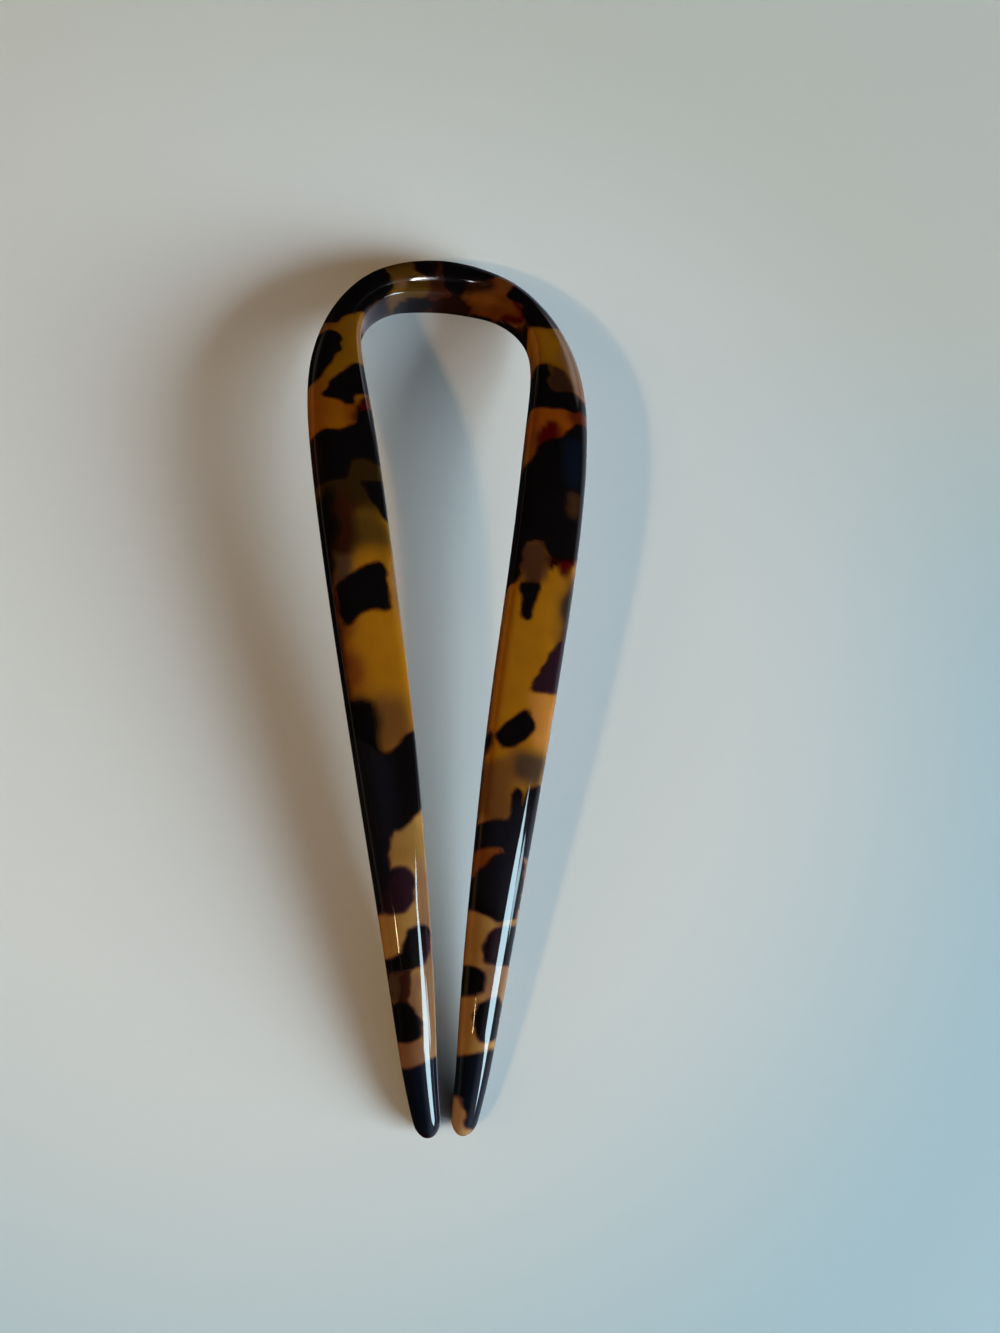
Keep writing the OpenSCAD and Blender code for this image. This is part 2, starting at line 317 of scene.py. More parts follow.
# Softer stains inside the dark flakes, laid as the clouds are
STAINS = (
    ("dark rust", 1.6, ((-22, 102.6), (-20.2, 102.6), (-19.7, 95.2), (-22, 95.2))),
    ("navy", 2.4, ((17.2, 104), (20, 104), (19.4, 96), (17, 96))),
    ("smoke", 1.6, ((17.6, 95), (19.8, 95), (19.2, 91), (17.2, 91.4))),
    # The blue-grey of these stains in the black flakes of the lower prongs is partly their own tint,
    # partly painted sheen of the sky
    ("slate", 3, ((-16, 58), (-9, 57), (-7, 34), (-13, 34))),
    ("slate", 2, ((2, 46), (13, 50), (12, 32), (4, 33))),
    ("navy", 2.4, ((-9, 12), (7, 13), (6, -2), (-6, -2))),
    ("plum", 1.6, ((-10.4, 33.4), (-5.4, 33.4), (-5.4, 39), (-8, 39))),
    ("plum", 1.6, ((6.2, 30.6), (7.4, 30.6), (7.2, 25), (5, 25.4))),
    ("plum", 1.4, ((-3.6, 31), (-2.4, 31), (-2.2, 25), (-4.4, 24.6))),
)

# Flakes drawn at random underneath: strays and reaches are shares of the blade's width, depths
# are in millimetres, and steps are counted in rings
HIDDEN_TONES = ("black", "black", "black", "plum", "rust")
HIDDEN_STRAY = 0.3
HIDDEN_REACH = (0.25, 0.75)
HIDDEN_LENGTH = 1.2
HIDDEN_CORNERS = (5, 8)
HIDDEN_DEPTH = (3.2, 4.4)
HIDDEN_STEP = (2, 7)

# Furthest distance from a flake's edge that is kept, in millimetres
EDGE_REACH = 2.0
# Share of a side that is cut off at each end to round the corners, and how often
CORNER_CUT = 0.2
CORNER_ROUNDS = 2
# Waves that make the outlines wander, and how coarsely and how far clouds and flakes do
WAVES = 9
WAVE_SPREAD = (0.7, 1.6)
CLOUD_WANDER = (6.0, 0.5)
FLAKE_WANDER = (2.4, 0.16)
# Painted shade on the sides: share of the tone that is left in the middle of the sides, how far
# below the top face and above the underside this painted shade begins, and over what depth it grows
PAINTED_SIDE_SHADE = (0.86, 0.76, 0.62)
SHADE_BELOW = 0.8
SHADE_ABOVE = 0.5
SHADE_GROWS = 1.4
# How far clouds and flakes lean across and along for each millimetre of depth
CLOUD_LEAN = (0.55, 0.35)
FLAKE_LEAN = (0.10, 0.28)

# Noises: width of a grain in millimetres, detail and roughness
GRAINS = {
    "ragged": (1.7, 5, 0.6),
    "vein": (4.5, 4, 0.6),
    "smear": (3, 5, 0.6),
    "wave": (7, 1, 0.5),
    "ripple": (2.6, 1, 0.5),
    "brush": (1.2, 4, 0.6),
    "paint": (60, 2, 0.5),
}
# How far ragged edges stray in millimetres, and the veins' range, share and tint
RAGGED_REACH = 0.6
VEIN_RANGE = (0.3, 0.7)
VEIN_SHARE = 0.28
VEIN_TINT = (0.62, 0.52, 0.45)
# Millimetres from a flake's edge over which its fringe and its cover grow
FRINGE_RANGE = (0.62, 0.0)
FRINGE_SHARE = 0.85
COVER_RANGE = (0.28, -0.24)
# Roughness that smears add, the ripples' share, and the height of waves and ripples
SMEAR_ROUGHNESS = 0.03
RIPPLE_SHARE = 0.12
WAVE_HEIGHT = 0.03 * MM
# Light under the surface: its share, and how far its red, green and blue go
UNDER_SHARE = 0.25
UNDER_COLOURS = (1.0, 0.4, 0.1)
UNDER_REACH = 1.2 * MM

# The camera, fitted to the outline in the photograph: place in millimetres, turns about
# x, y and z in radians, and a lens for a 36 mm sensor along the picture's longer side
CAMERA_PLACE = (-19.13, -29.78, 153.86)
CAMERA_TURN = (0.1936, -0.1791, 0.0211)
CAMERA_LENS = 26.683
SENSOR = 36

# Soft lights, and panels that only show in the polish: name, azimuth, elevation and distance,
# width and height in metres, power in watts or brightness, and colour. Azimuth 0 is past the
# crown, and 90 to the right.
LIGHTS = (
    ("window", (118, 18, 2.2), (1.43, 1.05), 102, (0.70, 0.88, 1.0)),
    ("lamp", (-122, 36, 1.2), (0.07, 0.07), 4, (1.0, 0.62, 0.30)),
    ("wall", (-88, 22, 0.5), (0.30, 0.27), 0.50, (1.0, 0.80, 0.52)),
)
REFLECTIONS = (
    ("window pane", (125.5, 38, 2.2), (0.79, 1.00), 18, (0.62, 0.88, 1.0)),
    ("window side", (111.5, 22, 2.2), (0.16, 0.62), 11, (0.62, 0.86, 1.0)),
    ("lamp glint", (-139.2, 55.0, 1.2), (0.020, 0.070), 60, (1.0, 0.74, 0.40)),
    ("spark", (5.2, 27.1, 1.0), (0.007, 0.038), 42, (0.95, 0.98, 1.0)),
    ("small spark", (8.1, 25.2, 1.0), (0.004, 0.005), 60, (0.95, 0.98, 1.0)),
)

# The floor's painted light and shade: where the painted light is brightest, how far out from there
# it gives way to painted shade, and where along the fork the far painted shade turns into the near one
PAINTED_LIGHT_MIDDLE = (-0.015, 0.005, 0)
PAINTED_LIGHT_FALL = (58 * MM, 132 * MM)
PAINTED_SHADE_TURN = (80 * MM, -10 * MM)
# Its brushed grain's stretch and height, and the share and tint of what darkens the paint
BRUSH_STRETCH = (0.06, 1.0, 1.0)
BRUSH_HEIGHT = 0.05 * MM
PAINT_SHADE = 0.05
PAINT_DIRT = (0.5, 0.5, 0.5)

# The room round the fork: its dark parts, and the direction and edge of a bright wall
DARK_ROOM = (0.006, 0.006, 0.007)
NOTHING = (0, 0, 0)
BRIGHT_WALL = (0.524, 0.806, 0.276)
WALL_EDGE = (0.970, 0.997)
# Where each part of the room begins and where it is full, as shares of a direction that goes
# right (X), past the crown (Y) or up (Z)
ROOM = {
    "left": (("X", 0.3, -0.4),),
    "low": (("Z", 0.36, 0.04), ("Y", 0.96, 0.78)),
    "viewer": (("Y", -0.20, -0.60), ("X", 0.40, 0.0)),
    "sky": (("Z", 0.10, 0.45), ("Y", -0.15, -0.75), ("X", 0.0, 0.45)),
    "lit ground": (("X", 0.1, 0.5),),
    "ground": (("Z", 0.02, -0.06),),
}


def blend(a, b, t):
    """Between a and b, by the share t."""
    return a + (b - a) * t


def ease(t):
    """A smooth step from 0 to 1."""
    c = np.clip(t, 0, 1)
    return c * c * (3 - 2 * c)


# What the settings that are colours or lengths have in common
COLOUR = {"size": 3, "min": 0, "subtype": "COLOR"}
LENGTH = {"precision": 4, "unit": "LENGTH"}


class ForkSettings(bpy.types.PropertyGroup):
    """Sizes and finish of the fork."""

    sheet: FloatProperty(
        name="Sheet", description="Thickness of the crown and upper prongs",
        default=0.0056, min=0.004, max=0.007, **LENGTH,
    )
    tip_sheet: FloatProperty(
        name="Tip sheet", description="Thickness just before the prong ends",
        default=0.0035, min=0.0024, max=0.004, **LENGTH,
    )
    tip_round: FloatProperty(
        name="Tip rounding", description="Length over which each prong end is rounded off",
        default=0.0026, min=0.0015, max=0.0035, **LENGTH,
    )
    inner_squareness: FloatProperty(
        name="Inner squareness",
        description="Squareness of the inner edge above the tips; 2 is an ellipse",
        default=5.0, min=2.0, max=6.0,
    )
    outer_squareness: FloatProperty(
        name="Outer squareness",
        description="Squareness of the outer edge above the tips, which is rounder",
        default=2.7, min=2.0, max=5.0,
    )
    tip_squareness: FloatProperty(
        name="Tip squareness", description="Squareness of the section at the prong ends",
        default=2.2, min=2.0, max=4.0,
    )
    bow: FloatProperty(
        name="Bow", description="Bow over the whole length",
        default=math.radians(9.5), min=0.0, max=math.radians(20), unit="ROTATION",
    )
    shoulder_turn: FloatProperty(
        name="Shoulder turn", description="Sharper turn of the shoulders",
        default=math.radians(17), min=0.0, max=math.radians(30), unit="ROTATION",
    )
    rest_tilt: FloatProperty(
        name="Rest tilt", description="Turn that sets prong ends and crown down equally low",
        default=math.radians(9.92346), min=0.0, max=math.radians(30), unit="ROTATION",
    )
    smoothing: IntProperty(
        name="Smoothing", description="How often the mesh is halved to smooth it",
        default=2, min=1, max=3,
    )
    fringe: FloatVectorProperty(
        name="Fringe", description="Tint in which a thick flake thins out at its edge",
        default=(0.150, 0.060, 0.380), max=1, **COLOUR,
    )
    roughness: FloatProperty(
        name="Roughness", description="Roughness of the polished surface",
        default=0.03, min=0.0, max=1.0, subtype="FACTOR",
    )
    seed: IntProperty(
        name="Seed", description="Start of the random flakes underneath",
        default=7, min=0,
    )


class StageSettings(bpy.types.PropertyGroup):
    """Floor, lights and room."""

    floor_colour: FloatVectorProperty(
        name="Floor", description="Colour of the painted floor",
        default=(0.78, 0.79, 0.76), max=1, **COLOUR,
    )
    # Painted shade: the floor's greyer tint well past the crown
    far_colour: FloatVectorProperty(
        name="Far floor", description="Colour of the floor well past the crown",
        default=(0.67, 0.67, 0.60), max=1, **COLOUR,
    )
    # Painted shade: the floor's cooler tint well before the prong ends, where the warm lamp's light is
    # painted out
    near_colour: FloatVectorProperty(
        name="Near floor", description="Colour of the floor well before the prong ends",
        default=(0.47, 0.64, 0.70), max=1, **COLOUR,
    )
    floor_size: FloatProperty(
        name="Floor size", description="Side of the floor",
        default=4.0, min=1.0, unit="LENGTH",
    )
    daylight: FloatProperty(
        name="Light", description="Strength of the lights that light the fork and the floor",
        default=1.0, min=0.0,
    )
    gloss: FloatProperty(
        name="Gloss", description="Strength of what shows in the polish",
        default=1.0, min=0.0,
    )
    room_strength: FloatProperty(
        name="Room", description="Strength of the light from the room itself",
        default=1.0, min=0.0,
    )
    right_colour: FloatVectorProperty(
        name="Right", description="Cool light low on the right",
        default=(0.32, 0.38, 0.44), **COLOUR,
    )
    left_colour: FloatVectorProperty(
        name="Left", description="Warm light low on the left",
        default=(0.24, 0.20, 0.14), **COLOUR,
    )
    sky_colour: FloatVectorProperty(
        name="Sky", description="Blue light from behind the viewer on the right",
        default=(0.50, 0.53, 0.66), **COLOUR,
    )
    ground_colour: FloatVectorProperty(
        name="Ground", description="Ground on the right, as the polish shows it",
        default=(0.40, 0.45, 0.55), **COLOUR,
    )
    wall_colour: FloatVectorProperty(
        name="Wall", description="Pale wall past the crown on the right",
        default=(1.2, 1.1, 1.1), max=4, **COLOUR,
    )


def prong_controls():
    """The stations of one prong and the first ones past the crown, as across, along, blade."""
    right = [(off_axis, along, blade) for along, off_axis, blade in STATIONS]
    left = [(-across, along, blade) for across, along, blade in reversed(right[:-1])]
    return np.array([right[0], right[0]] + right + left[:2], float)


def spline_place(controls, count):
    """Place and direction of the smooth curve, this many rings along it."""
    span, step = divmod(count, RINGS_PER_STATION)
    t = step / RINGS_PER_STATION
    weights = np.array([
        (1 - t) ** 3,
        3 * t ** 3 - 6 * t ** 2 + 4,
        1 + 3 * t + 3 * t ** 2 - 3 * t ** 3,
        t ** 3,
    ]) / 6
    slopes = np.array([
        -(1 - t) ** 2,
        3 * t ** 2 - 4 * t,
        1 + 2 * t - 3 * t ** 2,
        t ** 2,
    ]) / 2
    around = controls[span:span + 4]
    return weights @ around, slopes @ around


def thickness(settings, along):
    """Thickness of the sheet this far along it, in millimetres."""
    sheet = settings.sheet / MM
    tip_sheet = settings.tip_sheet / MM
    zone_sheet = blend(tip_sheet, sheet, TIP_ZONE_SHARE)
    return np.interp(along, (0, TIP_ZONE, TAPER_END), (tip_sheet, zone_sheet, sheet))


def squareness(settings, along, full):
    """Squareness this far along an edge that ends with the given one."""
    share = ease((along - SQUARE_FROM) / (SQUARE_TO - SQUARE_FROM))
    return blend(settings.tip_squareness, full, share)


def round_ring():
    """Places round a circle of one unit, one for each vertex of a ring."""
    turns = 2 * math.pi * np.arange(RING_SIDES) / RING_SIDES
    return np.cos(turns).round(9), np.sin(turns).round(9)


class Ring:
    """One section of the blank: where it stands, how it turns and what outline it has."""

    def __init__(self, settings, controls, count):
        place, direction = spline_place(controls, count)
        across, along, blade = place
        first_along, first_across = STATIONS[0][:2]
        from_end = math.hypot(across - first_across, along - first_along)
        left = max(0.0, 1 - from_end * MM / settings.tip_round)
        share = math.sqrt(1 - left ** 2)
        self.centre = Vector((across, along, 0)) * MM
        self.heading = math.atan2(direction[1], direction[0])
        self.half_blade = blade * share / 2 * MM * POLISHED
        self.half_sheet = float(thickness(settings, along)) * share / 2 * MM * POLISHED
        self.inner = squareness(settings, along, settings.inner_squareness)
        self.outer = squareness(settings, along, settings.outer_squareness)

    def axes(self):
        """Across the blade towards its inner edge, along it, and up."""
        way = Vector((math.cos(self.heading), math.sin(self.heading), 0))
        up = Vector((0, 0, 1))
        return Matrix((up.cross(way), way, up)).transposed()

    def stretch(self, across, through):
        """Resizes what is selected about the ring's middle, across the blade and through it."""
        bpy.ops.transform.resize(
            value=(across, 1, through),
            orient_type="GLOBAL",
            orient_matrix=self.axes(),
            orient_matrix_type="GLOBAL",
            center_override=self.centre,
        )

    def outline(self):
        """Where the ring's vertices must stand for the smoothed blank to have its outline."""
        cos, sin = round_ring()
        power = 2 / np.where(cos > 0, self.inner, self.outer)
        across = self.half_blade * np.sign(cos) * abs(cos) ** power
        up = self.half_sheet * np.sign(sin) * abs(sin) ** power
        smoothed = np.eye(RING_SIDES) * 4
        smoothed += np.roll(np.eye(RING_SIDES), 1, axis=0) + np.roll(np.eye(RING_SIDES), -1, axis=0)
        return np.linalg.solve(smoothed / 6, np.column_stack((across, up)))


def switch_to(mode):
    """Goes to edit mode or to object mode."""
    bpy.ops.object.mode_set(mode=mode)


def deselect_all():
    """Leaves edit mode and deselects every object."""
    if bpy.context.object and bpy.context.object.mode != "OBJECT":
        switch_to("OBJECT")
    bpy.ops.object.select_all(action="DESELECT")


def edit_all():
    """Goes to edit mode with everything selected."""
    switch_to("EDIT")
    bpy.ops.mesh.select_all(action="SELECT")


def pick(piece):
    """Selects this piece alone and makes it the active one."""
    deselect_all()
    piece.select_set(True)
    bpy.context.view_layer.objects.active = piece


def apply_modifier(piece, kind, **values):
    """Adds a modifier with these values and applies it."""
    modifier = piece.modifiers.new(kind.title(), kind)
    for name, value in values.items():
        setattr(modifier, name, value)
    bpy.ops.object.modifier_apply(modifier=modifier.name)


def start_prong(ring):
    """Adds the first ring, at the prong's end."""
    bpy.ops.mesh.primitive_circle_add(
        vertices=RING_SIDES,
        radius=ring.half_blade,
        fill_type="NGON",
        location=ring.centre,
        rotation=(math.pi / 2, 0, ring.heading - math.pi / 2),
    )
    piece = bpy.context.object
    bpy.ops.object.transform_apply(location=True, rotation=True, scale=True)
    switch_to("EDIT")
    bpy.ops.mesh.select_mode(type="VERT")
    ring.stretch(1, ring.half_sheet / ring.half_blade)
    return piece


def shape_ring(piece, before, ring):
    """Moves the newest ring's vertices from the outline of the ring before to their own."""
    mesh = bmesh.from_edit_mesh(piece.data)
    axes = ring.axes()
    old = before * (ring.half_blade, ring.half_sheet)
    new = ring.outline()
    for vert in list(mesh.verts)[-RING_SIDES:]:
        out = axes.inverted() @ (vert.co - ring.centre)
        corner = int(((old - (out.x, out.z)) ** 2).sum(1).argmin())
        vert.co = ring.centre + axes @ Vector((new[corner][0], 0, new[corner][1]))
    bmesh.update_edit_mesh(piece.data)
    return new / (ring.half_blade, ring.half_sheet)


def draw_prong(settings):
    """Extrudes one prong ring by ring, from its end to the top of the crown."""
    controls = prong_controls()
    last = RINGS_PER_STATION * len(STATIONS)
    rings = [Ring(settings, controls, count) for count in range(1, last + 1)]
    piece = start_prong(rings[0])
    outline = shape_ring(piece, np.column_stack(round_ring()), rings[0])
    for before, ring in zip(rings, rings[1:]):
        bpy.ops.mesh.extrude_region_move(
            TRANSFORM_OT_translate={"value": ring.centre - before.centre},
        )
        turn_about_z(ring.heading - before.heading, ring.centre)
        ring.stretch(ring.half_blade / before.half_blade, ring.half_sheet / before.half_sheet)
        outline = shape_ring(piece, outline, ring)
    bpy.ops.mesh.delete(type="ONLY_FACE")
    switch_to("OBJECT")
    return piece


def turn_about_z(angle, centre):
    """Turns what is selected anticlockwise. With no window, the operator turns the other way."""
    bpy.ops.transform.rotate(value=-angle, orient_axis="Z", center_override=centre)


def mirror_prong(piece, settings):
    """Makes the second prong and rounds the whole blank."""
    pick(piece)
    apply_modifier(piece, "MIRROR", merge_threshold=WELD, use_clip=True)
    apply_modifier(
        piece, "SUBSURF", subdivision_type="CATMULL_CLARK",
        levels=settings.smoothing, render_levels=settings.smoothing,
    )
    edit_all()
    bpy.ops.mesh.remove_doubles(threshold=DOUBLE)
    bpy.ops.mesh.normals_make_consistent(inside=False)
    switch_to("OBJECT")


def mesh_places(piece):
    """The piece's vertices in millimetres, as rows of an array."""
    flat = np.empty(len(piece.data.vertices) * 3)
    piece.data.vertices.foreach_get("co", flat)
    return flat.reshape(-1, 3) / MM


def side_view(settings):
    """Length along the bent blank's middle plane, and its y and z there, in millimetres."""
    along = np.arange(0, BLANK_LENGTH + BEND_SPARE + BEND_STEP, BEND_STEP, dtype=float)
    angles = slope(settings, along[:-1] + BEND_STEP / 2)
    y = np.concatenate(([0], np.cumsum(np.cos(angles)))) * BEND_STEP
    z = np.concatenate(([0], np.cumsum(np.sin(angles)))) * BEND_STEP
    return along, y, z


def slope(settings, along):
    """Slope of the bent blank's middle plane this far along it."""
    turned = ease((along - TURN_START) / (TURN_END - TURN_START))
    return -settings.bow * along / BLANK_LENGTH - settings.shoulder_turn * turned


def bend_blank(piece, settings):
    """Bends the flat blank along its side view."""
    places = mesh_places(piece)
    along, line_y, line_z = side_view(settings)
    angles = slope(settings, places[:, 1])
    y = np.interp(places[:, 1], along, line_y) - places[:, 2] * np.sin(angles)
    z = np.interp(places[:, 1], along, line_z) + places[:, 2] * np.cos(angles)
    bent = np.column_stack((places[:, 0], y, z)) * MM
    piece.data.vertices.foreach_set("co", bent.ravel())
    piece.data.update()


def set_down(piece, settings):
    """Tilts the bent blank to rest on its prong ends and crown, over the frame's middle."""
    pick(piece)
    edit_all()
    bpy.ops.transform.rotate(value=-settings.rest_tilt, orient_axis="X", center_override=(0, 0, 0))
    switch_to("OBJECT")
    places = mesh_places(piece) * MM
    low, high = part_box(NODE)
    middle = (places.min(0) + places.max(0)) / 2
    move = (
        (low.x + high.x) / 2 - middle[0],
        (low.y + high.y) / 2 - middle[1],
        low.z - places[:, 2].min(),
    )
    switch_to("EDIT")
    bpy.ops.transform.translate(value=move)
    switch_to("OBJECT")
    bpy.ops.object.shade_smooth()


def round_corners(outline):
    """Cuts an outline's corners off, so that it runs in curves."""
    points = np.array(outline, float)
    for _ in range(CORNER_ROUNDS):
        after = np.roll(points, -1, axis=0)
        cuts = (blend(points, after, CORNER_CUT), blend(points, after, 1 - CORNER_CUT))
        points = np.stack(cuts, axis=1).reshape(-1, 2)
    return points


def wander(places, grain, reach, random):
    """Moves each place a little, so that the outlines laid over it run less straight."""
    moved = places.copy()
    for _ in range(WAVES):
        turn = random.uniform(0, 2 * math.pi)
        length = grain * random.uniform(*WAVE_SPREAD)
        phase = places @ np.array((math.cos(turn), math.sin(turn))) * 2 * math.pi / length
        push = random.normal(size=2) * reach / math.sqrt(WAVES)
        moved += push * np.sin(phase + random.uniform(0, 2 * math.pi))[:, None]
    return moved


def outline_distance(places, outline):
    """Distance of each place from an outline, negative inside it."""
    nearest = np.full(len(places), np.inf)
    inside = np.zeros(len(places), bool)
    x, y = places[:, 0], places[:, 1]
    for start, end in zip(outline, np.roll(outline, -1, axis=0)):
        edge = end - start
        out = places - start
        share = np.clip(out @ edge / max(edge @ edge, 1e-9), 0, 1)
        nearest = np.minimum(nearest, ((out - share[:, None] * edge) ** 2).sum(1))
        if start[1] != end[1]:
            crossing = start[0] + (y - start[1]) * edge[0] / edge[1]
            inside ^= ((start[1] > y) != (end[1] > y)) & (x < crossing)
    return np.where(inside, -1, 1) * np.sqrt(nearest)


def near(places, outline, margin):
    """Which places lie within this margin of an outline's box."""
    low = np.min(outline, axis=0) - margin
    high = np.max(outline, axis=0) + margin
    return ((places > low) & (places < high)).all(axis=1)


def hidden_flakes(settings):
    """Flakes of the underside, drawn at random along both prongs."""
    random = np.random.default_rng(settings.seed)
    controls = prong_controls()
    flakes = []
    for side in (1, -1):
        count = RINGS_PER_STATION
        while count < RINGS_PER_STATION * len(STATIONS):
            place, _ = spline_place(controls, count)
            stray = random.uniform(-HIDDEN_STRAY, HIDDEN_STRAY, 2) * place[2]
            middle = np.array((side * place[0], place[1])) + stray
            corners = random.integers(*HIDDEN_CORNERS)
            turns = np.sort(random.uniform(0, 2 * math.pi, corners))
            reach = place[2] * random.uniform(*HIDDEN_REACH, corners)
            ways = np.column_stack((np.cos(turns), np.sin(turns) * HIDDEN_LENGTH))
            outline = middle + ways * reach[:, None]
            tone = random.choice(HIDDEN_TONES)
            flakes.append((str(tone), random.uniform(*HIDDEN_DEPTH), THROUGH, outline))
            count += int(random.integers(*HIDDEN_STEP))
    return flakes


def lay_clouds(clouds, places, tone):
    """Paints soft clouds into a tone."""
    for name, fade, outline in clouds:
        chosen = near(places, outline, fade)
        distance = outline_distance(places[chosen], round_corners(outline))
        cover = ease(0.5 - distance / fade)[:, None]
        tone[chosen] = blend(tone[chosen], np.array(TONES[name]), cover)


def lay_flakes(places, depth, flakes, edge, tone):
    """Keeps the distance to the nearest flake's edge, and that flake's tone."""
    for name, start, end, outline in flakes:
        chosen = np.flatnonzero(near(places, outline, EDGE_REACH))
        distance = outline_distance(places[chosen], round_corners(outline))
        distance = np.maximum(distance, np.maximum(start - depth[chosen], depth[chosen] - end))
        closer = distance < edge[chosen]
        edge[chosen[closer]] = distance[closer]
        tone[chosen[closer]] = TONES[name]


def colour_sheet(piece, settings):
    """Lays clouds and flakes in the flat blank, and keeps them as attributes of its mesh."""
    places = mesh_places(piece)
    sheet = thickness(settings, places[:, 1])
    depth = sheet / 2 - places[:, 2]
    random = np.random.default_rng(settings.seed)
    flat = places[:, :2]
    leaning = flat + depth[:, None] * CLOUD_LEAN
    clear = np.tile(np.array(TONES["amber"]), (len(places), 1))
    lay_clouds(CLOUDS, wander(leaning, *CLOUD_WANDER, random), clear)
    # Painted shade: the clear tone is darkened in the middle of the sides
    below = ease((depth - SHADE_BELOW) / SHADE_GROWS)
    above = ease((sheet - depth - SHADE_ABOVE) / SHADE_GROWS)
    clear *= blend(np.ones(3), np.array(PAINTED_SIDE_SHADE), (below * above)[:, None])
    edge = np.full(len(places), float(EDGE_REACH))
    flaked = np.tile(np.array(TONES["black"]), (len(places), 1))
    moved = wander(flat + depth[:, None] * FLAKE_LEAN, *FLAKE_WANDER, random)
    lay_flakes(moved, depth, FLAKES, edge, flaked)
    lay_flakes(moved, depth, hidden_flakes(settings), edge, flaked)
    lay_clouds(STAINS, moved, flaked)
    keep_attribute(piece, "flake_edge", edge)
    keep_attribute(piece, "clear_tone", clear)
    keep_attribute(piece, "flake_tone", flaked)


def keep_attribute(piece, name, values):
    """Keeps one number or colour for each vertex of the mesh."""
    kind, field = "FLOAT", "value"
    if values.ndim == 2:
        kind, field = "FLOAT_COLOR", "color"
        values = np.column_stack((values, np.ones(len(values))))
    attribute = piece.data.attributes.new(name, kind, "POINT")
    attribute.data.foreach_set(field, np.ascontiguousarray(values, np.float32).ravel())


class NodeBench:
    """Adds and joins the nodes of one material or world."""

    def __init__(self, holder):
        holder.use_nodes = True
        self.tree = holder.node_tree
        self.tree.nodes.clear()

    def add(self, kind, inputs=None, **values):
        """Adds a shader node with these values and inputs."""
        node = self.tree.nodes.new("ShaderNode" + kind)
        for name, value in values.items():
            setattr(node, name, value)
        for name, value in (inputs or {}).items():
            self.fill(node.inputs[name], value)
        return node

    def fill(self, socket, value):
        """Links a socket to a socket, or sets it to a number or colour."""
        if isinstance(value, bpy.types.NodeSocket):
            self.tree.links.new(value, socket)
        elif socket.type == "RGBA":
            socket.default_value = (*value, 1)
        else:
            socket.default_value = value

    def attribute(self, name, output="Color"):
        """What the mesh keeps under this name."""
        return self.add("Attribute", attribute_name=name).outputs[output]

    def sum(self, a, b, operation="ADD"):
        """The result of one sum on two numbers."""
        return self.add("Math", {0: a, 1: b}, operation=operation).outputs[0]

    def times(self, a, b):
        """The product of two numbers."""
        return self.sum(a, b, "MULTIPLY")

    def step(self, value, low, high):
        """0 to 1, smoothly, as the value goes from low to high."""
        inputs = {"Value": value, "From Min": low, "From Max": high}
        node = self.add("MapRange", inputs, interpolation_type="SMOOTHSTEP")
        return node.outputs["Result"]

    def mix(self, share, a, b, kind="MIX"):
        """A mix of two colours."""
        inputs = {"Factor": share, "A": a, "B": b}
        node = self.add("Mix", data_type="RGBA", blend_type=kind)
        for socket in node.inputs:
            if socket.enabled and socket.name in inputs:
                self.fill(socket, inputs[socket.name])
        return next(socket for socket in node.outputs if socket.enabled)

    def noise(self, place, name):
        """One of the named noises, from 0 to 1."""
        grain, detail, roughness = GRAINS[name]
        scale = 1 / (grain * MM)
        inputs = {"Vector": place, "Scale": scale, "Detail": detail, "Roughness": roughness}
        return self.add("TexNoise", inputs).outputs["Fac"]


def acetate(settings):
    """Polished tortoiseshell: amber sheet with clouds, and thick flakes with a red fringe."""
    material = bpy.data.materials.new("polished_tortoiseshell")
    bench = NodeBench(material)
    place = bench.add("TexCoord").outputs["Object"]
    clear = bench.attribute("clear_tone")
    flaked = bench.attribute("flake_tone")
    edge = bench.attribute("flake_edge", "Fac")

    stray = bench.sum(bench.noise(place, "ragged"), 0.5, "SUBTRACT")
    ragged = bench.sum(edge, bench.times(stray, RAGGED_REACH))
    mottle = bench.step(bench.noise(place, "vein"), *VEIN_RANGE)
    veined = bench.mix(bench.times(mottle, VEIN_SHARE), clear, VEIN_TINT, "MULTIPLY")
    fringe = bench.times(bench.step(ragged, *FRINGE_RANGE), FRINGE_SHARE)
    fringed = bench.mix(fringe, veined, settings.fringe, "MULTIPLY")
    cover = bench.step(ragged, *COVER_RANGE)
    colour = bench.mix(cover, fringed, flaked)

    smear = bench.times(bench.noise(place, "smear"), SMEAR_ROUGHNESS)
    roughness = bench.sum(settings.roughness, smear)
    waves = bench.noise(place, "wave")
    ripples = bench.times(bench.noise(place, "ripple"), RIPPLE_SHARE)
    bump = bench.add("Bump", {
        "Height": bench.sum(waves, ripples),
        "Distance": WAVE_HEIGHT,
        "Strength": 1.0,
    })
    shader = bench.add("BsdfPrincipled", {
        "Base Color": colour,
        "Roughness": roughness,
        "IOR": 1.5,
        "Normal": bump.outputs["Normal"],
        "Subsurface Weight": UNDER_SHARE,
        "Subsurface Radius": UNDER_COLOURS,
        "Subsurface Scale": UNDER_REACH,
    })
    bench.add("OutputMaterial", {"Surface": shader.outputs[0]})
    return material


